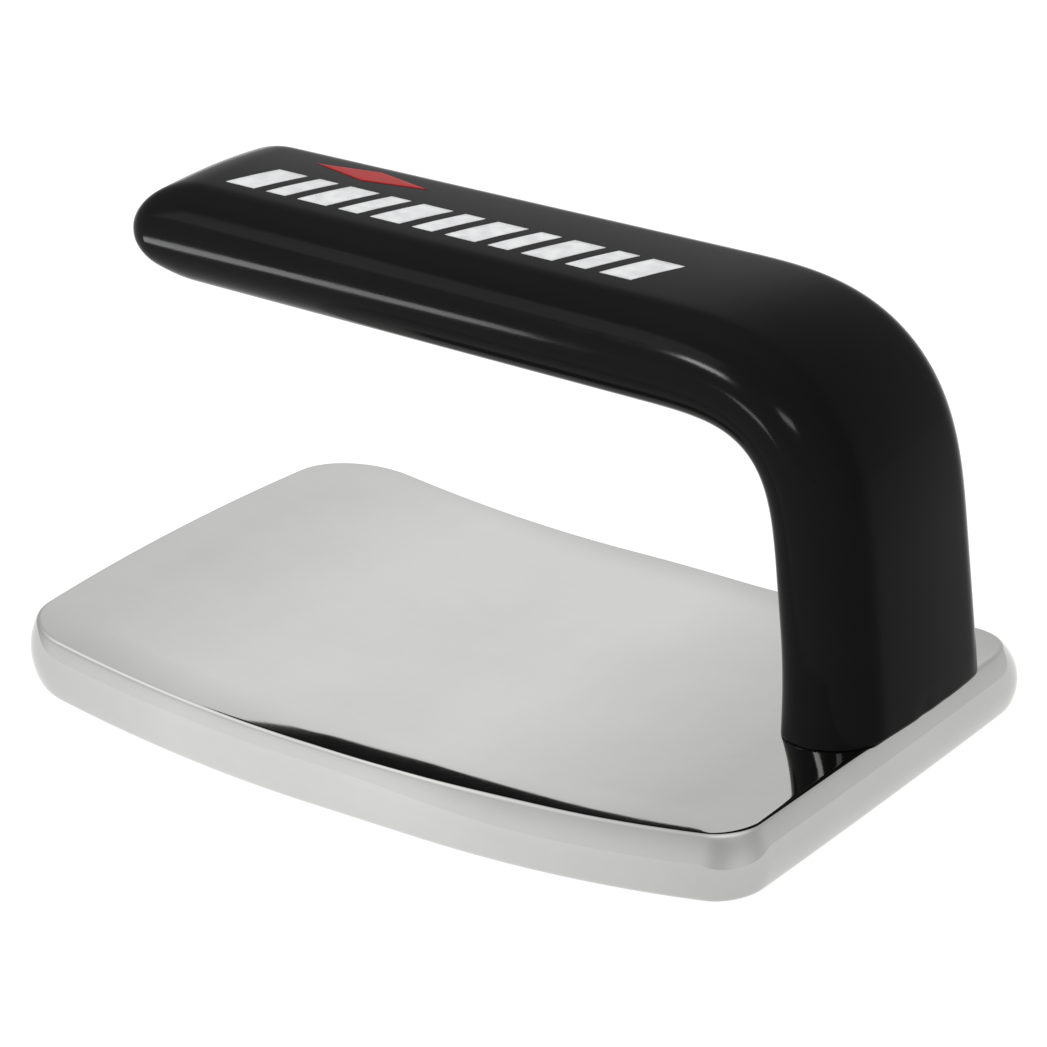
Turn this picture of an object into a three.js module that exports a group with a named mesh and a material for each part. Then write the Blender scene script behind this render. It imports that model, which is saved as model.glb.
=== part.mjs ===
// Cold iron for pressing swellings: a thick polished steel plate, curved like a shallow boat along
// its length, and a bent flat-bar handle welded to one end of it and dipped in black vinyl.
//
// Millimetres, +Z up. Z = 0 is the lowest strip of the plate's underside, +X points to the end that
// carries the handle's foot, and the origin is under the middle of the object's box.
import * as THREE from 'three';

const degrees = THREE.MathUtils.degToRad;

// ---- Driving dimensions ----

// Plate, seen from above: a rectangle with four different corner radii and slightly bowed edges.
const PLATE_LENGTH = 64;
const PLATE_WIDTH = 40.9;
const CORNER_RADII = { footFront: 2.7, footBack: 5.8, tipBack: 5.9, tipFront: 4.05 };
const SIDE_BOW = 0.3;
const TIP_END_BOW = 1.0;
const FOOT_END_BOW = 0.2;

// Plate, seen from the side: both ends curl up by the sag, and the rim is as tall all the way round.
// Buffing has rolled the top down to the rim, a little more steeply towards the handle's foot, where
// the top's edge is also set back from the rim.
const RIM_HEIGHT = 4.85;
const SAG = 2.55;
const REST_HALF_LENGTH = 5;
const SIDE_BULGE = 0.65;
const EDGE_SETBACK = 0.6;
const SETBACK_START = -2;
const SETBACK_END = 16;
const ROLL_WIDTH = 4.1;
const FOOT_ROLL_WIDTH = 6.5;
const ROLL_SLOPE = 0.125;
const ROLL_SLOPE_GROWTH = 0.001;
const UNDER_EDGE = 0.5;

// Handle: a leaning column, an eased bend and a nearly level arm that ends in a rounded nose.
const GRIP_THICKNESS = 7.38;
const GRIP_EDGE_RADIUS = 3.57;
const LARGEST_EDGE_SHARE = 0.96;
const GRIP_WIDTH_AT_FOOT = 18.98;
const GRIP_WIDTH_AT_BEND = 18.28;
const GRIP_WIDTH_AT_TIP = 16.73;
const GRIP_OFFSET_Y = 4.28;
const COLUMN_LENGTH = 12.23;
const COLUMN_LEAN = degrees(5.75);
const FOOT_FLARE = 0.6;
const FLARE_LENGTH = 7.5;
const BEND_MEAN_RADIUS = 15.52;
const BEND_EASE = 0.81;
const ARM_LENGTH = 46.85;
const ARM_RISE = degrees(1);
const NOSE_LENGTH = 5.64;
const NOSE_CORNER_FRONT = 2.5;
const NOSE_CORNER_BACK = 4.97;
const PATH_START_HEIGHT = RIM_HEIGHT + 2.0;

// Steel bar inside the vinyl, its bevelled foot, and the two weld runs that fill the bevels.
const BAR_THICKNESS = 4;
const BAR_EDGE_RADIUS = 1.2;
const BAR_END_COVER = 3.8;
const BAR_END_CORNER = 2;
const VINYL_WALL = 1.39;
const GAP = 0.3;
const FOOT_THICKNESS = 1.6;
const BEVEL_HEIGHT = 1.2;
const FOOT_STATION = 0.6;
const WELD_REACH = 2.3;
const WELD_CROWN = 0.15;
const WELD_END_MARGIN = 1.6;

// Where the plate's rings lie: under it as a share of its size, up its side as a share of the rim's
// height, across the roll as a share of its width, and inside the roll as a share of what is left.
const UNDER_SCALES = [0.06, 0.3, 0.55, 0.8];
const SIDE_RISES = [0.08, 0.3, 0.5, 0.7, 0.92, 1];
const ROLL_SHARES = [0.15, 0.35, 0.6, 1];
const MIDDLE_SCALES = [0.75, 0.5, 0.25];

// How finely the other curves are cut into facets.
const CORNER_STEPS = 6;
const LONG_EDGE_STEPS = 9;
const SHORT_EDGE_STEPS = 8;
const SECTION_CORNER_STEPS = 5;
const BEND_STEPS = 14;
const ARM_STEPS = 4;
const NOSE_STEPS = 6;
const NOSE_CLOSING_ANGLE = degrees(85);
const PATH_STEPS = 400;
const COLUMN_STATIONS = [3.2, 7.5];
const BAR_END_INSETS = [BAR_END_CORNER, 0.7 * BAR_END_CORNER, 0];

// ---- Materials ----

const polishedSteel = new THREE.MeshStandardMaterial({ color: 0xc9cac6, metalness: 1, roughness: 0.18 });
const millSteel = new THREE.MeshStandardMaterial({ color: 0x9a9a98, metalness: 1, roughness: 0.45 });
const weldSteel = new THREE.MeshStandardMaterial({ color: 0x8a8884, metalness: 1, roughness: 0.55 });
const blackVinyl = new THREE.MeshStandardMaterial({ color: 0x0b0b0c, metalness: 0, roughness: 0.22 });

// ---- Skins: closed surfaces drawn over a list of rings with equal point counts ----

// Rings run anticlockwise about the direction in which the list advances. Each end is closed with
// a fan about the given end point.
function skin(rings, startPoint, endPoint) {
  const count = rings[0].length;
  const points = [...rings.flat(), startPoint, endPoint];
  const startIndex = points.length - 2;
  const endIndex = points.length - 1;
  const lastRing = (rings.length - 1) * count;
  const faces = [];
  for (let j = 0; j < count; j += 1) {
    const next = (j + 1) % count;
    faces.push(startIndex, next, j);
    faces.push(endIndex, lastRing + j, lastRing + next);
    for (let ring = 0; ring < lastRing; ring += count) {
      faces.push(ring + j, ring + next, ring + count + next);
      faces.push(ring + j, ring + count + next, ring + count + j);
    }
  }
  const geometry = new THREE.BufferGeometry();
  geometry.setFromPoints(points);
  geometry.setIndex(faces);
  geometry.computeVertexNormals();
  return geometry;
}

// ---- Plate ----

const halfLength = PLATE_LENGTH / 2;
const halfWidth = PLATE_WIDTH / 2;

// Height of the underside: a flat strip in the middle, then a parabola up to the sag at the ends.
function undersideHeight(x) {
  const beyondFlat = Math.max(0, Math.abs(x) - REST_HALF_LENGTH) / (halfLength - REST_HALF_LENGTH);
  return SAG * beyondFlat ** 2;
}

// How far the top's edge lies inside the rim.
function edgeSetback(x) {
  return EDGE_SETBACK * THREE.MathUtils.smoothstep(x, SETBACK_START, SETBACK_END);
}

// The top rises from its edge with the roll's slope and levels out where the roll's share is 1.
function topHeight(x, rollShare) {
  const slope = ROLL_SLOPE + ROLL_SLOPE_GROWTH * x;
  const rise = (slope * ROLL_WIDTH) / 2;
  return undersideHeight(x) + RIM_HEIGHT + rise * (1 - (1 - rollShare) ** 2);
}

// Height of the plate near the handle's foot, where the nearest rim is the foot end. Outside the
// top's edge, it is the edge's height.
function footSurface(x) {
  const fromEdge = halfLength + FOOT_END_BOW - EDGE_SETBACK - x;
  return topHeight(x, THREE.MathUtils.clamp(fromEdge / FOOT_ROLL_WIDTH, 0, 1));
}

function cornerArc(centreX, centreY, radius, startAngle) {
  const points = [];
  for (let i = 0; i <= CORNER_STEPS; i += 1) {
    const angle = startAngle + (i / CORNER_STEPS) * (Math.PI / 2);
    points.push(new THREE.Vector2(centreX + radius * Math.cos(angle), centreY + radius * Math.sin(angle)));
  }
  return points;
}

function between(start, end, steps) {
  const points = [];
  for (let i = 1; i < steps; i += 1) points.push(start.clone().lerp(end, i / steps));
  return points;
}

// The rim seen from above, anticlockwise, with the corner arcs, the straights and the bows.
function rimOutline() {
  const { footFront, footBack, tipBack, tipFront } = CORNER_RADII;
  const corners = [
    cornerArc(halfLength - footFront, footFront - halfWidth, footFront, -Math.PI / 2),
    cornerArc(halfLength - footBack, halfWidth - footBack, footBack, 0),
    cornerArc(tipBack - halfLength, halfWidth - tipBack, tipBack, Math.PI / 2),
    cornerArc(tipFront - halfLength, tipFront - halfWidth, tipFront, Math.PI),
  ];
  const edgeSteps = [SHORT_EDGE_STEPS, LONG_EDGE_STEPS, SHORT_EDGE_STEPS, LONG_EDGE_STEPS];
  const outline = corners.flatMap((corner, i) => {
    const nextStart = corners[(i + 1) % corners.length][0];
    return [...corner, ...between(corner[CORNER_STEPS], nextStart, edgeSteps[i])];
  });
  return outline.map(({ x, y }) => {
    const alongX = x / halfLength;
    const alongY = y / halfWidth;
    const endBow = x > 0 ? FOOT_END_BOW : TIP_END_BOW;
    return new THREE.Vector2(
      x + endBow * alongX * (1 - alongY ** 2),
      y + SIDE_BOW * alongY * (1 - alongX ** 2),
    );
  });
}

function outwardNormals(outline) {
  return outline.map((_, i) => {
    const before = outline[(i + outline.length - 1) % outline.length];
    const after = outline[(i + 1) % outline.length];
    return new THREE.Vector2(after.y - before.y, before.x - after.x).normalize();
  });
}

function plateGeometry() {
  const outline = rimOutline();
  const normals = outwardNormals(outline);
  const shrunk = (plan, insetAt) => plan.map(({ x, y }, i) => {
    const { insetX, insetY } = insetAt(outline[i].x);
    return new THREE.Vector2(x * (1 - insetX / halfLength), y * (1 - insetY / halfWidth));
  });
  const raised = (plan, height) => plan.map(({ x, y }) => new THREE.Vector3(x, y, height(x)));
  const underRing = (scale) => raised(outline.map((p) => p.clone().multiplyScalar(scale)), undersideHeight);
  const sideRing = (rise) => {
    const bulge = SIDE_BULGE * 4 * rise * (1 - rise);
    const bulged = outline.map((p, i) => p.clone().addScaledVector(normals[i], bulge));
    const plan = shrunk(bulged, (x) => {
      const inset = edgeSetback(x) * rise ** 2;
      return { insetX: inset, insetY: inset };
    });
    return raised(plan, (x) => undersideHeight(x) + rise * RIM_HEIGHT);
  };
  const rollPlan = (rollShare) => shrunk(outline, (x) => {
    const widthX = x > 0 ? FOOT_ROLL_WIDTH : ROLL_WIDTH;
    const setback = edgeSetback(x);
    return { insetX: setback + rollShare * widthX, insetY: setback + rollShare * ROLL_WIDTH };
  });
  const rollRing = (rollShare) => raised(rollPlan(rollShare), (x) => topHeight(x, rollShare));
  const middleRing = (scale) => {
    const plan = rollPlan(1).map((p) => p.multiplyScalar(scale));
    return raised(plan, (x) => topHeight(x, 1));
  };
  const underRim = shrunk(outline, () => ({ insetX: UNDER_EDGE, insetY: UNDER_EDGE }));
  const rings = [
    ...UNDER_SCALES.map(underRing),
    raised(underRim, undersideHeight),
    ...SIDE_RISES.map(sideRing),
    ...ROLL_SHARES.map(rollRing),
    ...MIDDLE_SCALES.map(middleRing),
  ];
  return skin(rings, new THREE.Vector3(0, 0, 0), new THREE.Vector3(0, 0, topHeight(0, 1)));
}

// ---- Handle centre line ----

const bendTurn = Math.PI / 2 - ARM_RISE - COLUMN_LEAN;
const bendLength = BEND_MEAN_RADIUS * bendTurn;
const bendEnd = COLUMN_LENGTH + bendLength;
const pathLength = bendEnd + ARM_LENGTH;
const footCentreX = halfLength - GRIP_THICKNESS / 2;

// Lean of the centre line from upright, towards -X. The bend starts and ends gently.
function leanAt(station) {
  const turned = THREE.MathUtils.clamp((station - COLUMN_LENGTH) / bendLength, 0, 1);
  const eased = turned - (BEND_EASE * Math.sin(2 * Math.PI * turned)) / (2 * Math.PI);
  return COLUMN_LEAN + bendTurn * eased;
}

function centreAt(station) {
  const step = station / PATH_STEPS;
  const centre = new THREE.Vector3(footCentreX, GRIP_OFFSET_Y, PATH_START_HEIGHT);
  for (let i = 0; i < PATH_STEPS; i += 1) {
    const lean = leanAt((i + 0.5) * step);
    centre.x -= Math.sin(lean) * step;
    centre.z += Math.cos(lean) * step;
  }
  return centre;
}

// ---- Handle sections ----

// A rounded rectangle across the centre line: frontHalf and backHalf are its reach to -Y and +Y. Its
// inner half, on the side of the finger gap, is stretched by innerScale.
function sectionRing(station, halfThickness, frontHalf, backHalf, edgeRadius, innerScale = 1) {
  const centre = centreAt(station);
  const lean = leanAt(station);
  const outward = new THREE.Vector3(Math.cos(lean), 0, Math.sin(lean));
  const radius = Math.min(edgeRadius, LARGEST_EDGE_SHARE * halfThickness);
  const corners = [[1, backHalf], [-1, backHalf], [-1, -frontHalf], [1, -frontHalf]];
  return corners.flatMap(([side, reach], quarter) => {
    const points = [];
    for (let i = 0; i <= SECTION_CORNER_STEPS; i += 1) {
      const angle = (quarter + i / SECTION_CORNER_STEPS) * (Math.PI / 2);
      const across = side * (halfThickness - radius) + radius * Math.cos(angle);
      const sideways = reach - Math.sign(reach) * radius + radius * Math.sin(angle);
      const point = centre.clone().addScaledVector(outward, across < 0 ? across * innerScale : across);
      point.y += sideways;
      points.push(point);
    }
    return points;
  });
}

function gripHalfWidth(station) {
  const bendMiddle = COLUMN_LENGTH + bendLength / 2;
  const width = station < bendMiddle
    ? THREE.MathUtils.mapLinear(station, 0, bendMiddle, GRIP_WIDTH_AT_FOOT, GRIP_WIDTH_AT_BEND)
    : THREE.MathUtils.mapLinear(station, bendMiddle, pathLength, GRIP_WIDTH_AT_BEND, GRIP_WIDTH_AT_TIP);
  return width / 2;
}

// How much a rounded corner takes off a width, a given distance before the end.
function cornerTrim(fromEnd, radius) {
  if (fromEnd >= radius) return 0;
  return radius - Math.sqrt(radius ** 2 - (radius - fromEnd) ** 2);
}

function gripRing(station) {
  const fromEnd = pathLength - station;
  const noseProgress = Math.max(0, 1 - fromEnd / NOSE_LENGTH);
  const halfThickness = (GRIP_THICKNESS / 2) * Math.sqrt(1 - noseProgress ** 2);
  const front = gripHalfWidth(station) - cornerTrim(fromEnd, NOSE_CORNER_FRONT);
  const back = gripHalfWidth(station) - cornerTrim(fromEnd, NOSE_CORNER_BACK);
  const flare = FOOT_FLARE * Math.max(0, 1 - (station - FOOT_STATION) / FLARE_LENGTH) ** 2;
  const innerScale = 1 + flare / halfThickness;
  return sectionRing(station, halfThickness, front, back, GRIP_EDGE_RADIUS, innerScale);
}

// A section of the bar, or of the hollow around it when clearance is GAP.
function barRing(station, halfThickness, clearance) {
  const fromEnd = pathLength - BAR_END_COVER + clearance - station;
  const trim = cornerTrim(fromEnd, BAR_END_CORNER);
  const half = gripHalfWidth(station) - VINYL_WALL - GAP + clearance - trim;
  return sectionRing(station, halfThickness + clearance, half, half, BAR_EDGE_RADIUS + clearance);
}

// Sets a ring down on the plate, with the usual gap under it.
function onPlate(ring) {
  return ring.map(({ x, y }) => new THREE.Vector3(x, y, footSurface(x) + GAP));
}

function evenly(start, end, steps) {
  return Array.from({ length: steps + 1 }, (_, i) => THREE.MathUtils.lerp(start, end, i / steps));
}

const bendStations = evenly(COLUMN_LENGTH, bendEnd, BEND_STEPS);
const noseStart = pathLength - NOSE_LENGTH;
const armStations = evenly(bendEnd, noseStart, ARM_STEPS).slice(1);

// ---- Handle pieces ----

const halfBar = BAR_THICKNESS / 2;

function gripGeometry() {
  const noseStations = evenly(0, NOSE_CLOSING_ANGLE, NOSE_STEPS)
    .slice(1)
    .map((angle) => noseStart + NOSE_LENGTH * Math.sin(angle));
  const outside = [
    onPlate(gripRing(FOOT_STATION)),
    ...[...COLUMN_STATIONS, ...bendStations, ...armStations, ...noseStations].map(gripRing),
  ];
  const hollowEnd = pathLength - BAR_END_COVER + GAP;
  const hollowTip = BAR_END_INSETS.map((inset) => hollowEnd - inset);
  const weldRoom = WELD_REACH + WELD_CROWN + GAP - halfBar;
  const hollow = [
    onPlate(barRing(FOOT_STATION, halfBar + weldRoom - GAP, GAP)),
    ...[...COLUMN_STATIONS, ...bendStations, ...armStations.slice(0, -1), ...hollowTip]
      .map((station) => barRing(station, halfBar, GAP)),
  ];
  return skin([...hollow.reverse(), ...outside], centreAt(hollowEnd), centreAt(pathLength));
}

function barGeometry() {
  const barEnd = pathLength - BAR_END_COVER;
  const endStations = BAR_END_INSETS.map((inset) => barEnd - inset);
  const foot = onPlate(barRing(FOOT_STATION, FOOT_THICKNESS / 2, 0));
  const stations = [...COLUMN_STATIONS, ...bendStations, ...armStations.slice(0, -1), ...endStations];
  const rings = [
    foot,
    barRing(FOOT_STATION + GAP + BEVEL_HEIGHT, halfBar, 0),
    ...stations.map((station) => barRing(station, halfBar, 0)),
  ];
  const footCentre = centreAt(FOOT_STATION);
  footCentre.z = footSurface(footCentre.x) + GAP;
  return skin(rings, footCentre, centreAt(barEnd));
}

// One weld run: a wedge under the bevel with a slightly crowned face, laid along Y.
function weldGeometry(side) {
  const bevelSlope = BEVEL_HEIGHT / (halfBar - FOOT_THICKNESS / 2);
  const inner = FOOT_THICKNESS / 2 + GAP * Math.SQRT2;
  const top = (WELD_REACH - inner) * bevelSlope;
  const wedge = new THREE.Shape();
  wedge.moveTo(side * inner, 0);
  wedge.lineTo(side * WELD_REACH, 0);
  wedge.lineTo(side * (WELD_REACH + WELD_CROWN), top / 2);
  wedge.lineTo(side * WELD_REACH, top);
  wedge.closePath();
  const length = 2 * (gripHalfWidth(FOOT_STATION) - VINYL_WALL - GAP - WELD_END_MARGIN);
  const geometry = new THREE.ExtrudeGeometry(wedge, { depth: length, bevelEnabled: false });
  geometry.translate(0, 0, -length / 2);
  geometry.rotateX(Math.PI / 2);
  return geometry;
}

// ---- Assembly ----

function piece(name, geometry, material) {
  const mesh = new THREE.Mesh(geometry, material);
  mesh.name = name;
  return mesh;
}

function weldRun(name, side) {
  const mesh = piece(name, weldGeometry(side), weldSteel);
  const footX = centreAt(FOOT_STATION).x;
  const underWedge = evenly(footX, footX + side * (WELD_REACH + WELD_CROWN), 4).map(footSurface);
  mesh.position.set(footX, GRIP_OFFSET_Y, Math.max(...underWedge) + GAP);
  return mesh;
}

const group = new THREE.Group();
group.add(
  piece('base_plate', plateGeometry(), polishedSteel),
  piece('handle_bar', barGeometry(), millSteel),
  piece('grip_sleeve', gripGeometry(), blackVinyl),
  weldRun('weld_run_inner', -1),
  weldRun('weld_run_outer', 1),
);

// Centres the object's box over the origin.
group.position.x = -new THREE.Box3().setFromObject(group).getCenter(new THREE.Vector3()).x;

export default group;
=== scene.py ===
# Looks of the cold iron: a mirror-polished steel plate and a bent handle dipped in black vinyl.
#
# Metres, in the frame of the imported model. The plate and the grip are drawn from the same formulas
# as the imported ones, cut far finer, with the soft edges and small unevenness that the facets lack.
import math

import bpy
from mathutils import Matrix, Vector, noise


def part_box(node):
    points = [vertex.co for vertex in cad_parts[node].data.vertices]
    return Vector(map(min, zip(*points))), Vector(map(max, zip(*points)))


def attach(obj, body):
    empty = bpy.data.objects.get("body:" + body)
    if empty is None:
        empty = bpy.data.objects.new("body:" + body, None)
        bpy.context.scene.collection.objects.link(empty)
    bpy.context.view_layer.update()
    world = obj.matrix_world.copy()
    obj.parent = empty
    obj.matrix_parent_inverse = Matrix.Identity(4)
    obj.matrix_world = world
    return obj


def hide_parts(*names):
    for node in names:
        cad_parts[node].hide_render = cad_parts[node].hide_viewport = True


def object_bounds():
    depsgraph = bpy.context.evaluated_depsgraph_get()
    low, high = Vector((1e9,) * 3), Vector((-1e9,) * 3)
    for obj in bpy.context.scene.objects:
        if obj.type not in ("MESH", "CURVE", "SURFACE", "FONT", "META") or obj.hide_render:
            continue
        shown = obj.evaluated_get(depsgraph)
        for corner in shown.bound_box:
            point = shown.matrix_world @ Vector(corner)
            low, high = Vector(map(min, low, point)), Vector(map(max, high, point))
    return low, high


MM = 0.001

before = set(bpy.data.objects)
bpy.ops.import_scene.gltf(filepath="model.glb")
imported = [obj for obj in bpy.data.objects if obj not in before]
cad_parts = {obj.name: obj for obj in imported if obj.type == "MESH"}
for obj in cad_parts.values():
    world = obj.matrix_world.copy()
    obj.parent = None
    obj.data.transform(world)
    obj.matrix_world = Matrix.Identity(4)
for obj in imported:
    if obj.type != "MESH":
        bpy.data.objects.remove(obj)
cad_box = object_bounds()
plate_low, plate_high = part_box("base_plate")
grip_low, grip_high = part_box("grip_sleeve")

# ---- Driving dimensions ----

# Plate: corner radii, bowed edges, and the profile of its rim.
CORNER_RADII = {"foot_front": 2.7 * MM, "foot_back": 5.8 * MM, "tip_back": 5.9 * MM, "tip_front": 4.05 * MM}
SIDE_BOW = 0.3 * MM
TIP_END_BOW = 1.0 * MM
FOOT_END_BOW = 0.2 * MM
RIM_HEIGHT = 4.85 * MM
SAG = 2.55 * MM
REST_HALF_LENGTH = 5 * MM
SIDE_BULGE = 0.65 * MM
EDGE_SETBACK = 0.6 * MM
SETBACK_START = -2 * MM
SETBACK_END = 16 * MM
ROLL_WIDTH = 4.1 * MM
FOOT_ROLL_WIDTH = 6.5 * MM
ROLL_SLOPE = 0.125
ROLL_SLOPE_GROWTH = 0.001 / MM
UNDER_EDGE = 0.5 * MM
SIDE_START = 0.1
SIDE_END = 0.95
TOP_EDGE_SHARE = 0.06
HAND_WAVE = 0.012 * MM
HAND_WAVE_LENGTH = 9 * MM

# How far the plate reaches past its half length at each end. Half way up the side at the foot's end,
# where the bulge is largest, a quarter of the setback is taken off.
FOOT_REACH = FOOT_END_BOW + SIDE_BULGE - EDGE_SETBACK / 4
TIP_REACH = TIP_END_BOW + SIDE_BULGE
HALF_LENGTH = (plate_high.x - plate_low.x - TIP_REACH - FOOT_REACH) / 2
HALF_WIDTH = plate_high.y - SIDE_BOW - SIDE_BULGE
PLATE_CENTRE_X = plate_high.x - FOOT_REACH - HALF_LENGTH

# Handle: centre line, section and nose.
GRIP_THICKNESS = 7.38 * MM
GRIP_EDGE_RADIUS = 3.57 * MM
LARGEST_EDGE_SHARE = 0.96
GRIP_WIDTH_AT_FOOT = 18.98 * MM
GRIP_WIDTH_AT_BEND = 18.28 * MM
GRIP_WIDTH_AT_TIP = 16.73 * MM
GRIP_CROWN = 0.55 * MM
GRIP_EDGE_DROP = 0.12 * MM
COLUMN_LENGTH = 12.23 * MM
COLUMN_LEAN = math.radians(5.75)
FOOT_FLARE = 0.6 * MM
FLARE_LENGTH = 7.5 * MM
BEND_MEAN_RADIUS = 15.52 * MM
BEND_EASE = 0.81
ARM_LENGTH = 46.85 * MM
ARM_RISE = math.radians(1)
NOSE_LENGTH = 5.64 * MM
NOSE_CORNER_FRONT = 2.5 * MM
NOSE_CORNER_BACK = 4.97 * MM
PATH_START_HEIGHT = RIM_HEIGHT + 2 * MM
GRIP_CENTRE_Y = (grip_low.y + grip_high.y) / 2

# Hollow inside the vinyl, which is wider round the welds, and how the vinyl ends on the plate.
BAR_THICKNESS = 4 * MM
BAR_EDGE_RADIUS = 1.2 * MM
BAR_END_COVER = 3.8 * MM
BAR_END_CORNER = 2 * MM
BAR_END_INSETS = (0.7, 0.4, 0.15, 0)
VINYL_WALL = 1.39 * MM
GAP = 0.3 * MM
FOOT_STATION = 0.6 * MM
SECOND_STATION = 1.8 * MM
HOLLOW_STATION = 3.2 * MM
WELD_ROOM = 2.75 * MM
FOOT_CLEARANCE = 0.02 * MM
FOOT_RAGGED = 0.1 * MM
RAGGED_LENGTH = 1.6 * MM
LIP_SHARES = (0, 0.1, 0.25, 0.45, 0.7)

# How finely the shapes are cut: the plate's outline, then its rings from the bottom up, then the grip
# around and along, and a patch of ink.
CORNER_STEPS = 16
LONG_EDGE_STEPS = 90
SHORT_EDGE_STEPS = 50
UNDERSIDE_STEPS = 20
BOTTOM_EDGE_STEPS = 6
SIDE_STEPS = 18
TOP_EDGE_STEPS = 7
ROLL_STEPS = 30
MIDDLE_STEPS = 34
SECTION_CORNER_STEPS = 14
SECTION_FACE_STEPS = 16
SHANK_STEPS = 160
NOSE_STEPS = 30
NOSE_CLOSING_ANGLE = 89
HOLLOW_STEPS = 60
INK_STEPS = 10

# ---- Small tools ----


def lerp(start, end, share):
    return start + (end - start) * share


def evenly(start, end, steps):
    return [lerp(start, end, i / steps) for i in range(steps + 1)]


def bezier(start, control, end, steps):
    """Points of a quadratic curve, both ends included."""
    points = []
    for t in evenly(0, 1, steps):
        points.append(lerp(lerp(start, control, t), lerp(control, end, t), t))
    return points


def closed_skin(name, rings, start_point, end_point):
    """A closed smooth mesh over rings of equal point counts, with a fan at each end."""
    count = len(rings[0])
    points = [p for ring in rings for p in ring] + [start_point, end_point]
    start_index = len(points) - 2
    end_index = len(points) - 1
    last_ring = (len(rings) - 1) * count
    faces = []
    for j in range(count):
        following = (j + 1) % count
        faces.append((start_index, following, j))
        faces.append((end_index, last_ring + j, last_ring + following))
        for ring in range(0, last_ring, count):
            faces.append((ring + j, ring + following, ring + count + following, ring + count + j))
    return smooth_object(name, points, faces)


def smooth_object(name, points, faces):
    mesh = bpy.data.meshes.new(name)
    mesh.from_pydata([tuple(p) for p in points], [], faces)
    mesh.validate()
    mesh.shade_smooth()
    made = bpy.data.objects.new(name, mesh)
    bpy.context.scene.collection.objects.link(made)
    return made


# ---- Plate ----


def underside_height(x):
    beyond_flat = max(0, abs(x) - REST_HALF_LENGTH) / (HALF_LENGTH - REST_HALF_LENGTH)
    return SAG * beyond_flat**2


def edge_setback(x):
    """How far the top's edge lies inside the rim."""
    progress = min(max((x - SETBACK_START) / (SETBACK_END - SETBACK_START), 0), 1)
    return EDGE_SETBACK * progress**2 * (3 - 2 * progress)


def top_height(x, roll_share):
    """The top rises from its edge with the roll's slope and levels out where the share is 1."""
    rise = (ROLL_SLOPE + ROLL_SLOPE_GROWTH * x) * ROLL_WIDTH / 2
    return underside_height(x) + RIM_HEIGHT + rise * (1 - (1 - roll_share) ** 2)


def foot_surface(x):
    """Height of the plate near the handle's foot, for an x in the plate's own frame. Outside the
    top's edge, it is the edge's height."""
    from_edge = HALF_LENGTH + FOOT_END_BOW - EDGE_SETBACK - x
    return top_height(x, min(max(from_edge / FOOT_ROLL_WIDTH, 0), 1))


def rim_outline():
    """The rim seen from above, anticlockwise: corner arcs, straights and bows."""
    radii = CORNER_RADII
    corners = [
        (1, -1, radii["foot_front"], -90),
        (1, 1, radii["foot_back"], 0),
        (-1, 1, radii["tip_back"], 90),
        (-1, -1, radii["tip_front"], 180),
    ]
    arcs = []
    for side_x, side_y, radius, start in corners:
        centre = Vector((side_x * (HALF_LENGTH - radius), side_y * (HALF_WIDTH - radius)))
        turns = [math.radians(a) for a in evenly(start, start + 90, CORNER_STEPS)]
        arcs.append([centre + radius * Vector((math.cos(a), math.sin(a))) for a in turns])
    outline = []
    for i, arc in enumerate(arcs):
        next_start = arcs[(i + 1) % len(arcs)][0]
        steps = SHORT_EDGE_STEPS if i % 2 == 0 else LONG_EDGE_STEPS
        outline += arc + [arc[-1].lerp(next_start, k / steps) for k in range(1, steps)]
    bowed = []
    for p in outline:
        along_x = p.x / HALF_LENGTH
        along_y = p.y / HALF_WIDTH
        end_bow = FOOT_END_BOW if p.x > 0 else TIP_END_BOW
        bow = Vector((end_bow * along_x * (1 - along_y**2), SIDE_BOW * along_y * (1 - along_x**2)))
        bowed.append(p + bow)
    return bowed


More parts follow.
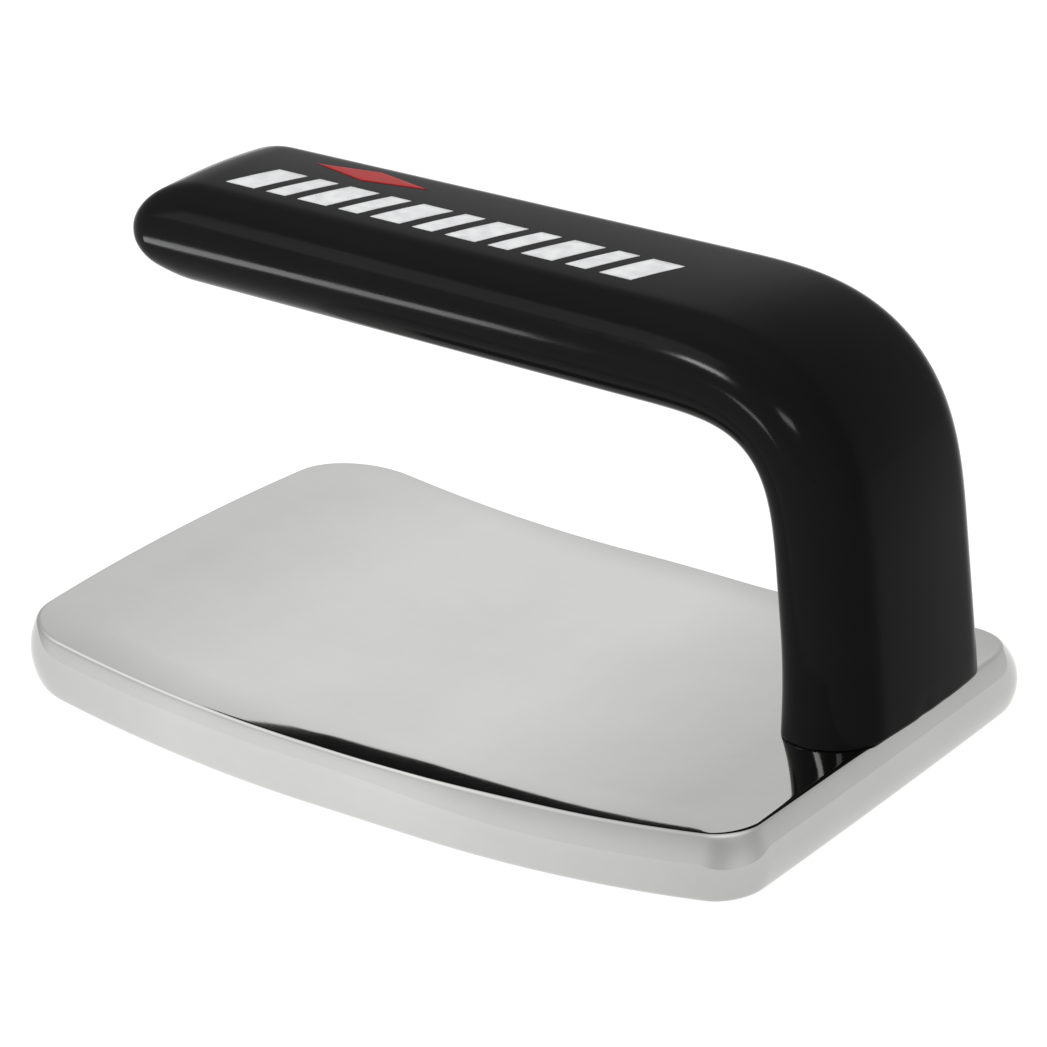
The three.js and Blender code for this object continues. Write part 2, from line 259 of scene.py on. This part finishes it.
def plate_object():
    outline = rim_outline()
    count = len(outline)
    normals = []
    for i in range(count):
        along = outline[(i + 1) % count] - outline[i - 1]
        normals.append(Vector((along.y, -along.x)).normalized())

    def shrunk(plan, inset_at):
        """The plan pulled towards the middle by insets along x and y."""
        pulled = []
        for p, q in zip(plan, outline):
            inset_x, inset_y = inset_at(q.x)
            pulled.append(Vector((p.x * (1 - inset_x / HALF_LENGTH), p.y * (1 - inset_y / HALF_WIDTH))))
        return pulled

    def raised(plan, height):
        return [Vector((p.x, p.y, height(p.x))) for p in plan]

    def side_ring(share):
        bulge = SIDE_BULGE * 4 * share * (1 - share)
        bulged = [p + n * bulge for p, n in zip(outline, normals)]
        plan = shrunk(bulged, lambda x: [edge_setback(x) * share**2] * 2)
        return raised(plan, lambda x: underside_height(x) + share * RIM_HEIGHT)

    def roll_plan(share):
        def insets(x):
            width = FOOT_ROLL_WIDTH if x > 0 else ROLL_WIDTH
            return edge_setback(x) + share * width, edge_setback(x) + share * ROLL_WIDTH

        return shrunk(outline, insets)

    def roll_ring(share):
        return raised(roll_plan(share), lambda x: top_height(x, share))

    def rounded_edge(below, edge, above, steps):
        """Rings between two rings, along curves that are pulled towards a third one at the edge."""
        curves = [bezier(*three, steps) for three in zip(below, edge, above)]
        return [list(ring) for ring in zip(*curves)][1:-1]

    under_rim = raised(shrunk(outline, lambda x: (UNDER_EDGE, UNDER_EDGE)), underside_height)
    underside = [
        raised([p * scale for p in outline], underside_height)
        for scale in evenly(0.02, 0.96, UNDERSIDE_STEPS)
    ]
    sides = [side_ring(share) for share in evenly(SIDE_START, SIDE_END, SIDE_STEPS)]
    roll = [roll_ring(share) for share in evenly(TOP_EDGE_SHARE, 1, ROLL_STEPS)]
    middle = [
        raised([p * scale for p in roll_plan(1)], lambda x: top_height(x, 1))
        for scale in evenly(1, 0.01, MIDDLE_STEPS)[1:]
    ]
    bottom_edge = rounded_edge(under_rim, raised(outline, underside_height), sides[0], BOTTOM_EDGE_STEPS)
    top_edge = rounded_edge(sides[-1], roll_ring(0), roll[0], TOP_EDGE_STEPS)
    top_centre = Vector((0, 0, top_height(0, 1)))
    rings = underside + [under_rim] + bottom_edge + sides + top_edge + roll + middle
    for ring in roll + middle:
        for p in ring:
            p.z += HAND_WAVE * noise.noise(p / HAND_WAVE_LENGTH)
    plate = closed_skin("polished_plate", rings, Vector(), top_centre)
    plate.location.x = PLATE_CENTRE_X
    return plate


# ---- Handle centre line and sections ----

BEND_TURN = math.pi / 2 - ARM_RISE - COLUMN_LEAN
BEND_LENGTH = BEND_MEAN_RADIUS * BEND_TURN
BEND_END = COLUMN_LENGTH + BEND_LENGTH
PATH_LENGTH = BEND_END + ARM_LENGTH
FOOT_CENTRE_X = PLATE_CENTRE_X + HALF_LENGTH - GRIP_THICKNESS / 2
WALK_STEP = 0.05 * MM


def lean_at(station):
    """Lean of the centre line from upright, towards -X. The bend starts and ends gently."""
    turned = min(max((station - COLUMN_LENGTH) / BEND_LENGTH, 0), 1)
    eased = turned - BEND_EASE * math.sin(2 * math.pi * turned) / (2 * math.pi)
    return COLUMN_LEAN + BEND_TURN * eased


def walk_centre_line():
    """Points of the centre line, WALK_STEP apart."""
    point = Vector((FOOT_CENTRE_X, GRIP_CENTRE_Y, PATH_START_HEIGHT))
    points = [point.copy()]
    for i in range(math.ceil(PATH_LENGTH / WALK_STEP) + 1):
        lean = lean_at((i + 0.5) * WALK_STEP)
        point += WALK_STEP * Vector((-math.sin(lean), 0, math.cos(lean)))
        points.append(point.copy())
    return points


CENTRE_LINE = walk_centre_line()


def centre_at(station):
    steps = station / WALK_STEP
    i = int(steps)
    return CENTRE_LINE[i].lerp(CENTRE_LINE[i + 1], steps - i)


def grip_half_width(station):
    bend_middle = COLUMN_LENGTH + BEND_LENGTH / 2
    if station < bend_middle:
        return lerp(GRIP_WIDTH_AT_FOOT, GRIP_WIDTH_AT_BEND, station / bend_middle) / 2
    share = (station - bend_middle) / (PATH_LENGTH - bend_middle)
    return lerp(GRIP_WIDTH_AT_BEND, GRIP_WIDTH_AT_TIP, share) / 2


def corner_trim(from_end, radius):
    """How much a rounded corner takes off a width, a given distance before the end."""
    if from_end >= radius:
        return 0
    return radius - math.sqrt(max(0, radius**2 - (radius - from_end) ** 2))


def section_ring(station, half_thickness, front, back, edge_radius, crown=0, inner_scale=1):
    """A rounded rectangle across the centre line. front and back are its reach to -Y and +Y. Its two
    wide faces bulge by the crown, and its half towards the finger gap is stretched by inner_scale."""
    centre = centre_at(station)
    lean = lean_at(station)
    outward = Vector((math.cos(lean), 0, math.sin(lean)))
    radius = min(edge_radius, LARGEST_EDGE_SHARE * half_thickness)
    corners = [(1, back), (-1, back), (-1, -front), (1, -front)]
    section = []
    for quarter, (side, reach) in enumerate(corners):
        inner_reach = reach - math.copysign(radius, reach)
        arc = []
        for share in evenly(0, 1, SECTION_CORNER_STEPS):
            angle = (quarter + share) * math.pi / 2
            across = side * (half_thickness - radius) + radius * math.cos(angle)
            arc.append((across, inner_reach + radius * math.sin(angle), math.cos(angle)))
        section += arc
        if quarter % 2 == 1:
            face_side, next_reach = corners[(quarter + 1) % 4]
            face_start = arc[-1][1]
            face_end = next_reach - math.copysign(radius, next_reach)
            for share in evenly(0, 1, SECTION_FACE_STEPS)[1:-1]:
                section.append((face_side * half_thickness, lerp(face_start, face_end, share), face_side))
    ring = []
    edge_drop = GRIP_EDGE_DROP * crown / GRIP_CROWN
    for across, sideways, facing in section:
        reach = back if sideways > 0 else front
        bulge = facing * (crown * (1 - (sideways / reach) ** 2) - edge_drop)
        stretched = across * inner_scale if across < 0 else across
        ring.append(centre + outward * (stretched + bulge) + Vector((0, sideways, 0)))
    return ring


def grip_ring(station):
    from_end = PATH_LENGTH - station
    nose_progress = max(0, 1 - from_end / NOSE_LENGTH)
    half_thickness = GRIP_THICKNESS / 2 * math.sqrt(1 - nose_progress**2)
    front = grip_half_width(station) - corner_trim(from_end, NOSE_CORNER_FRONT)
    back = grip_half_width(station) - corner_trim(from_end, NOSE_CORNER_BACK)
    crown = GRIP_CROWN * half_thickness / (GRIP_THICKNESS / 2)
    flare = FOOT_FLARE * max(0, 1 - (station - FOOT_STATION) / FLARE_LENGTH) ** 2
    inner_scale = 1 + flare / half_thickness
    return section_ring(station, half_thickness, front, back, GRIP_EDGE_RADIUS, crown, inner_scale)


def bar_ring(station, half_thickness):
    """A section of the hollow that holds the steel bar."""
    from_end = PATH_LENGTH - BAR_END_COVER + GAP - station
    half = grip_half_width(station) - VINYL_WALL - corner_trim(from_end, BAR_END_CORNER)
    return section_ring(station, half_thickness + GAP, half, half, BAR_EDGE_RADIUS + GAP)


def on_plate(ring):
    return [Vector((p.x, p.y, foot_surface(p.x - PLATE_CENTRE_X) + FOOT_CLEARANCE)) for p in ring]


def ragged(ring, amount):
    """The dip ends in an uneven edge: points move in and out from the ring's middle."""
    middle = sum(ring, Vector()) / len(ring)
    moved = []
    for p in ring:
        away = (p - middle) * Vector((1, 1, 0))
        place = Vector((p.x, p.y, 0))
        coarse = noise.noise(place / RAGGED_LENGTH)
        fine = noise.noise(2 * place / RAGGED_LENGTH)
        moved.append(p + away.normalized() * amount * (coarse + fine / 2))
    return moved


def grip_object():
    foot = on_plate(grip_ring(FOOT_STATION))
    second = grip_ring(SECOND_STATION)
    lip = []
    for share in LIP_SHARES:
        ring = [a.lerp(b, share) for a, b in zip(foot, second)]
        lip.append(ragged(ring, FOOT_RAGGED * (1 - share)))
    nose_start = PATH_LENGTH - NOSE_LENGTH
    shank = [grip_ring(s) for s in evenly(SECOND_STATION, nose_start, SHANK_STEPS)]
    nose = [
        grip_ring(nose_start + NOSE_LENGTH * math.sin(math.radians(angle)))
        for angle in evenly(0, NOSE_CLOSING_ANGLE, NOSE_STEPS)[1:]
    ]
    hollow_end = PATH_LENGTH - BAR_END_COVER + GAP
    half_bar = BAR_THICKNESS / 2
    stations = evenly(HOLLOW_STATION, hollow_end - BAR_END_CORNER, HOLLOW_STEPS)
    stations += [hollow_end - inset * BAR_END_CORNER for inset in BAR_END_INSETS]
    hollow = [on_plate(bar_ring(FOOT_STATION, WELD_ROOM - GAP))]
    hollow += [bar_ring(s, half_bar) for s in stations]
    rings = hollow[::-1] + lip + shank + nose
    return closed_skin("dipped_grip", rings, centre_at(hollow_end), centre_at(PATH_LENGTH))


# ---- Print on the arm: plain slanted bars and one small lozenge ----

INK_HEIGHT = 0.03 * MM
INK_DEPTH = 0.05 * MM
PRINT_START = PATH_LENGTH - 6.9 * MM
PRINT_LENGTH = 36.5 * MM
PRINT_MIDDLE = -1.9 * MM
PRINT_HALF_WIDTH = 2.1 * MM
PRINT_SLANT = 1.8 * MM
PRINT_GAP = 1.15 * MM
PRINT_SHARES = (3, 2) * 5 + (3,)
LOZENGE_STATION = PATH_LENGTH - 15.2 * MM
LOZENGE_MIDDLE = 3.1 * MM
LOZENGE_HALF_LENGTH = 5.2 * MM
LOZENGE_HALF_WIDTH = 1.3 * MM


def arm_point(station, sideways, height):
    """A point above the arm's crowned top, sideways from its middle."""
    lean = lean_at(station)
    half = grip_half_width(station)
    crown = GRIP_CROWN * (1 - (sideways / half) ** 2) - GRIP_EDGE_DROP
    across = GRIP_THICKNESS / 2 + crown + height
    outward = Vector((math.cos(lean), 0, math.sin(lean)))
    return centre_at(station) + outward * across + Vector((0, sideways, 0))


def ink_patch(name, corners):
    """A thin closed layer of ink over a four-cornered patch of the arm's top. Corners are
    (station, sideways) and run clockwise seen from above, starting at the tip's end on +Y."""
    low, high = [], []
    for down in evenly(0, 1, INK_STEPS):
        near = lerp(corners[0], corners[3], down)
        far = lerp(corners[1], corners[2], down)
        for along in evenly(0, 1, INK_STEPS):
            at = lerp(near, far, along)
            low.append(arm_point(at.x, at.y, -INK_DEPTH))
            high.append(arm_point(at.x, at.y, INK_HEIGHT))
    row = INK_STEPS + 1
    under = len(low)
    faces = []
    for i in range(INK_STEPS):
        for j in range(INK_STEPS):
            a = i * row + j
            faces.append((a, a + row, a + row + 1, a + 1))
            faces.append((under + a, under + a + 1, under + a + row + 1, under + a + row))
    edge = list(range(row))
    edge += [i * row + INK_STEPS for i in range(1, row)]
    edge += [INK_STEPS * row + j for j in range(INK_STEPS - 1, -1, -1)]
    edge += [i * row for i in range(INK_STEPS - 1, 0, -1)]
    for a, b in zip(edge, edge[1:] + edge[:1]):
        faces.append((a, b, under + b, under + a))
    return smooth_object(name, low + high, faces)


def print_objects():
    bars = []
    share_length = (PRINT_LENGTH - PRINT_GAP * (len(PRINT_SHARES) - 1)) / sum(PRINT_SHARES)
    near_tip = PRINT_START
    for number, share in enumerate(PRINT_SHARES, start=1):
        near_bend = near_tip - share * share_length
        corners = [
            Vector((near_tip - PRINT_SLANT, PRINT_MIDDLE + PRINT_HALF_WIDTH)),
            Vector((near_bend - PRINT_SLANT, PRINT_MIDDLE + PRINT_HALF_WIDTH)),
            Vector((near_bend, PRINT_MIDDLE - PRINT_HALF_WIDTH)),
            Vector((near_tip, PRINT_MIDDLE - PRINT_HALF_WIDTH)),
        ]
        bars.append(ink_patch(f"print_bar_{number}", corners))
        near_tip = near_bend - PRINT_GAP
    lozenge = ink_patch(
        "print_lozenge",
        [
            Vector((LOZENGE_STATION + LOZENGE_HALF_LENGTH, LOZENGE_MIDDLE)),
            Vector((LOZENGE_STATION, LOZENGE_MIDDLE + LOZENGE_HALF_WIDTH)),
            Vector((LOZENGE_STATION - LOZENGE_HALF_LENGTH, LOZENGE_MIDDLE)),
            Vector((LOZENGE_STATION, LOZENGE_MIDDLE - LOZENGE_HALF_WIDTH)),
        ],
    )
    return bars, lozenge


# ---- Materials ----


class NodeTree:
    """Short ways to add nodes to a node tree."""

    def __init__(self, tree):
        self.nodes = tree.nodes
        self.links = tree.links

    def add(self, kind, inputs, output, **settings):
        """Adds a node and gives back one of its outputs. An input is a number or another output."""
        node = self.nodes.new(kind)
        for name, value in settings.items():
            setattr(node, name, value)
        for name, value in inputs.items():
            if isinstance(value, bpy.types.NodeSocket):
                self.links.new(value, node.inputs[name])
            else:
                node.inputs[name].default_value = value
        return node.outputs[output]

    def maths(self, operation, first, second=0.0):
        return self.add("ShaderNodeMath", {0: first, 1: second}, 0, operation=operation)


class Shader(NodeTree):
    """A material with one Principled shader, and short ways to add what drives its sockets."""

    def __init__(self, name, values):
        self.material = bpy.data.materials.new(name)
        self.material.use_nodes = True
        super().__init__(self.material.node_tree)
        self.bsdf = self.nodes["Principled BSDF"]
        self.place = self.nodes.new("ShaderNodeTexCoord").outputs["Object"]
        for socket, value in values.items():
            self.bsdf.inputs[socket].default_value = value

    def stretched(self, scale):
        return self.add("ShaderNodeMapping", {"Vector": self.place, "Scale": scale}, "Vector")

    def noise(self, scale, detail=2.0, roughness=0.5, place=None):
        inputs = {"Vector": place or self.place, "Scale": scale, "Detail": detail, "Roughness": roughness}
        return self.add("ShaderNodeTexNoise", inputs, "Fac")

    def spread(self, value, low, high, to_low, to_high):
        inputs = {"Value": value, "From Min": low, "From Max": high, "To Min": to_low, "To Max": to_high}
        return self.add("ShaderNodeMapRange", inputs, "Result")

    def mixed(self, share, first, second):
        """A colour between two. Sockets 6, 7 and the output 2 are the Mix node's colour ones."""
        inputs = {"Factor": share, 6: (*first, 1), 7: (*second, 1)}
        return self.add("ShaderNodeMix", inputs, 2, data_type="RGBA")

    def bump(self, height, strength, distance):
        inputs = {"Height": height, "Strength": strength, "Distance": distance}
        return self.add("ShaderNodeBump", inputs, "Normal")

    def drive(self, **sockets):
        for name, value in sockets.items():
            self.links.new(value, self.bsdf.inputs[name.replace("_", " ")])
        return self.material


def polished_steel():
    """Mirror-bright steel with a faint mottle and fine marks along it. Its colour is darker towards
    both ends, more so towards the foot's end round the black column: painted shade, standing in for the
    column's blurred dark reflection."""
    shader = Shader("polished_steel", {"Metallic": 1.0})
    haze = shader.noise(scale=70, detail=6, roughness=0.65)
    smudge = shader.noise(scale=190, detail=4, roughness=0.6)
    marks = shader.noise(scale=1, detail=5, roughness=0.65, place=shader.stretched((160, 2600, 2600)))
    along = shader.add("ShaderNodeSeparateXYZ", {"Vector": shader.place}, "X")
    # Painted shade: the steel's colour darkens with distance along x from a point 6 mm towards the tip, most
    # at the foot's end round the black column.
    distance_from_unshaded = shader.maths("ABSOLUTE", shader.maths("ADD", along, 6 * MM))
    painted_brightness = shader.spread(distance_from_unshaded, 10 * MM, 38 * MM, 0.95, 0.12)
    painted_brightness_and_mottle = shader.maths("ADD", painted_brightness, shader.spread(haze, 0.3, 0.7, -0.1, 0.1))
    # Mix between the darker painted-shade colour and the lit steel colour; the haze noise adds a random
    # mottle on top.
    colour = shader.mixed(painted_brightness_and_mottle, (0.42, 0.42, 0.408), (0.615, 0.615, 0.60))
    gloss = shader.spread(smudge, 0.3, 0.75, 0.03, 0.06)
    normal = shader.bump(marks, strength=0.08, distance=0.01 * MM)
    return shader.drive(Base_Color=colour, Roughness=gloss, Normal=normal)


def black_vinyl():
    shader = Shader("black_vinyl", {"Specular IOR Level": 0.03})
    tone = shader.noise(scale=120, detail=3)
    peel = shader.noise(scale=420, detail=2)
    colour = shader.mixed(tone, (0.0032, 0.0032, 0.0033), (0.0042, 0.0042, 0.0043))
    gloss = shader.spread(shader.noise(scale=260, detail=4), 0.3, 0.7, 0.1, 0.15)
    normal = shader.bump(peel, strength=0.25, distance=0.02 * MM)
    return shader.drive(Base_Color=colour, Roughness=gloss, Normal=normal)


def ink(name, thin, thick):
    shader = Shader(name, {"Specular IOR Level": 0.1})
    cover = shader.noise(scale=900, detail=3)
    colour = shader.mixed(shader.spread(cover, 0.35, 0.65, 0, 1), thin, thick)
    gloss = shader.spread(cover, 0.3, 0.7, 0.3, 0.42)
    return shader.drive(Base_Color=colour, Roughness=gloss)


def mill_steel():
    shader = Shader("mill_steel", {"Metallic": 1.0})
    scale_marks = shader.noise(scale=1, detail=5, place=shader.stretched((900, 120, 900)))
    colour = shader.mixed(scale_marks, (0.34, 0.34, 0.34), (0.52, 0.52, 0.51))
    gloss = shader.spread(scale_marks, 0.3, 0.7, 0.35, 0.55)
    normal = shader.bump(scale_marks, strength=0.3, distance=0.03 * MM)
    return shader.drive(Base_Color=colour, Roughness=gloss, Normal=normal)


def weld_metal():
    shader = Shader("weld_metal", {"Metallic": 1.0})
    ripples = shader.add(
        "ShaderNodeTexWave",
        {"Vector": shader.place, "Scale": 260, "Distortion": 3, "Detail": 2},
        "Fac",
        bands_direction="Y",
    )
    colour = shader.mixed(ripples, (0.30, 0.29, 0.27), (0.50, 0.48, 0.45))
    normal = shader.bump(ripples, strength=0.6, distance=0.1 * MM)
    return shader.drive(Base_Color=colour, Roughness=shader.spread(ripples, 0, 1, 0.45, 0.6), Normal=normal)


# ---- Studio ----

MIDDLE = (cad_box[0] + cad_box[1]) / 2


def towards(azimuth, elevation):
    """Unit direction for an azimuth from +X towards +Y and an elevation, in degrees."""
    a, e = math.radians(azimuth), math.radians(elevation)
    return Vector((math.cos(a) * math.cos(e), math.sin(a) * math.cos(e), math.sin(e)))


def panel(name, azimuth, elevation, distance, width, height, radiance, only):
    """A soft rectangular light that faces the object and isn't seen itself. It lights only the pieces
    in a collection, as a flag between the lamp and the rest would have it."""
    data = bpy.data.lights.new(name, "AREA")
    data.shape = "RECTANGLE"
    data.size = width
    data.size_y = height
    data.energy = radiance * math.pi * width * height
    lamp = bpy.data.objects.new(name, data)
    direction = towards(azimuth, elevation)
    lamp.location = MIDDLE + direction * distance
    lamp.rotation_mode = "QUATERNION"
    lamp.rotation_quaternion = direction.to_track_quat("Z", "Y")
    lamp.visible_camera = False
    bpy.context.scene.collection.objects.link(lamp)
    lamp.light_linking.receiver_collection = only


def surroundings():
    """A white room. It is brighter overhead and behind on the left, and at the horizon wherever the
    plate's sides mirror it right above the bright floor. A glow is a direction, how narrow the glow
    is, and what it adds."""
    base = 0.63
    glows = [
        (towards(124, 28), 30, 0.3),
        (towards(116, 32), 8, 0.08),
        (towards(-128, 2), 5, 0.42),
        (towards(-170, 62), 16, 0.5),
        (towards(0, 90), 8, 0.7),
        (towards(55, 0), 4, 0.34),
        (towards(-36, 0), 3, 0.42),
    ]
    world = bpy.data.worlds.new("studio")
    bpy.context.scene.world = world
    world.use_nodes = True
    tree = NodeTree(world.node_tree)
    direction = tree.add("ShaderNodeTexCoord", {}, "Generated")
    strength = base
    for centre, sharpness, gain in glows:
        facing = tree.add("ShaderNodeVectorMath", {0: direction, 1: centre}, "Value", operation="DOT_PRODUCT")
        lobe = tree.maths("POWER", tree.maths("MAXIMUM", facing), sharpness)
        strength = tree.maths("ADD", strength, tree.maths("MULTIPLY", lobe, gain))
    background = tree.nodes["Background"]
    tree.links.new(strength, background.inputs["Strength"])
    background.inputs["Color"].default_value = (1, 1, 1, 1)


FLOOR_HALF = 3.0


def floor_object():
    """A pale floor, lit from within so that it shows white and hardly any shadow."""
    half = FLOOR_HALF
    corners = [(-half, -half, 0), (half, -half, 0), (half, half, 0), (-half, half, 0)]
    floor = smooth_object("floor", corners, [(0, 1, 2, 3)])
    shader = Shader("pale_floor", {"Roughness": 0.9, "Specular IOR Level": 0.0, "Emission Strength": 0.92})
    shader.bsdf.inputs["Emission Color"].default_value = (1, 1, 1, 1)
    tone = shader.noise(scale=3, detail=2)
    shader.drive(Base_Color=shader.mixed(tone, (0.18, 0.18, 0.178), (0.22, 0.22, 0.218)))
    floor.data.materials.append(shader.material)


CAMERA_AZIMUTH = math.radians(35.607)
CAMERA_ELEVATION = math.radians(23.172)
CAMERA_ROLL = math.radians(-0.854)
CAMERA_DISTANCE = 304.55 * MM
CAMERA_AIM = Vector((1.07, -0.53, -2.46)) * MM
CAMERA_LENS = 143.12
CAMERA_SENSOR = 36.0


def add_camera():
    a, e = CAMERA_AZIMUTH, CAMERA_ELEVATION
    back = Vector((math.sin(a) * math.cos(e), -math.cos(a) * math.cos(e), math.sin(e)))
    level = Vector((math.cos(a), math.sin(a), 0))
    upright = back.cross(level)
    right = math.cos(CAMERA_ROLL) * level + math.sin(CAMERA_ROLL) * upright
    up = back.cross(right)
    data = bpy.data.cameras.new("camera")
    data.sensor_width = CAMERA_SENSOR
    data.lens = CAMERA_LENS
    data.clip_start = 0.01
    data.clip_end = 20
    camera = bpy.data.objects.new("camera", data)
    place = MIDDLE + CAMERA_AIM + back * CAMERA_DISTANCE
    turn = Matrix((right, up, back)).transposed().to_4x4()
    camera.matrix_world = Matrix.Translation(place) @ turn
    bpy.context.scene.collection.objects.link(camera)
    bpy.context.scene.camera = camera


# ---- Assembly ----


def dress(piece, material, slot, *nodes):
    """Gives a piece its material, rides it on the one body, and hides the CAD nodes it stands for."""
    piece.data.materials.clear()
    piece.data.materials.append(material)
    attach(piece, "root")
    if nodes:
        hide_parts(*nodes)


def assign(node, material):
    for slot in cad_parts[node].material_slots:
        slot.material = material


add_camera()
vinyl = black_vinyl()
dress(plate_object(), polished_steel(), "polished_steel", "base_plate")
grip = grip_object()
dress(grip, vinyl, "black_vinyl", "grip_sleeve")
vinyl_only = bpy.data.collections.new("vinyl_only")
vinyl_only.objects.link(grip)
bars, lozenge = print_objects()
white_ink = ink("white_ink", (0.76, 0.765, 0.775), (0.90, 0.905, 0.91))
red_ink = ink("red_ink", (0.38, 0.008, 0.008), (0.46, 0.012, 0.011))
for bar in bars:
    bar.data.materials.append(white_ink)
    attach(bar, "root")
lozenge.data.materials.append(red_ink)
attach(lozenge, "root")
weld = weld_metal()
assign("handle_bar", mill_steel())
assign("weld_run_inner", weld)
assign("weld_run_outer", weld)

surroundings()
floor_object()
panel("front_left_softbox", -125, 34, distance=0.9, width=0.45, height=0.3, radiance=3.7, only=vinyl_only)
panel("low_strip", -137, -7, distance=0.083, width=0.045, height=0.01, radiance=40, only=vinyl_only)
panel("front_window", -112.5, 21.5, distance=0.7, width=0.13, height=0.07, radiance=115, only=vinyl_only)
panel("front_window_low", -102, -3.4, distance=0.136, width=0.02, height=0.012, radiance=36, only=vinyl_only)
panel("front_right_window", -69, 26, distance=0.7, width=0.14, height=0.07, radiance=37, only=vinyl_only)

scene = bpy.context.scene
scene.view_settings.view_transform = "Standard"
scene.view_settings.look = "None"
